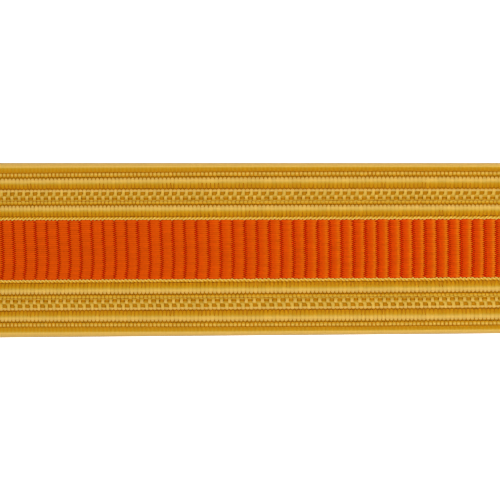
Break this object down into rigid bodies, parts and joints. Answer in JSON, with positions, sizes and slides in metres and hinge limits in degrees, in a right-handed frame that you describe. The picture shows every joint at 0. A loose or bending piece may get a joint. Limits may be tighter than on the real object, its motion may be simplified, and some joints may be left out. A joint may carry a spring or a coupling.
{
  "type": "sleeve braid",
  "caption": "Short flat length of woven trimming to sew round a cuff: ribbed gold bands with a check pattern along both edges and a cross-ribbed orange centre stripe.",
  "frame": {"origin": "middle of the flat back face, where it rests or is sewn down", "axes": "+X along the braid, +Y across it towards the straight upper edge, +Z from the back to the face"},
  "size_m": [0.06, 0.0194, 0.0015],
  "materials": {
    "gold_yarn": "lustrous satin yarn, straw gold on the crests and amber in the valleys",
    "border_yarn": "lustrous two-ply twist in a slightly greenish gold",
    "orange_silk": "lustrous silk warp over cross ribs",
    "ground_cotton": "matt plain-woven cotton"
  },
  "bodies": {
    "root": {"ground_web": "ground_cotton", "centre_stripe": "orange_silk", "upper_edge_cord": "gold_yarn", "upper_bead_cord": "gold_yarn", "upper_outer_rib": "gold_yarn", "upper_check_band": "gold_yarn", "upper_fine_cord": "gold_yarn", "upper_inner_rib": "gold_yarn", "upper_border_twist": "border_yarn", "lower_edge_cord": "gold_yarn", "lower_bead_cord": "gold_yarn", "lower_outer_rib": "gold_yarn", "lower_check_band": "gold_yarn", "lower_fine_cord": "gold_yarn", "lower_inner_rib": "gold_yarn", "lower_border_twist": "border_yarn"}
  },
  "joints": []
}
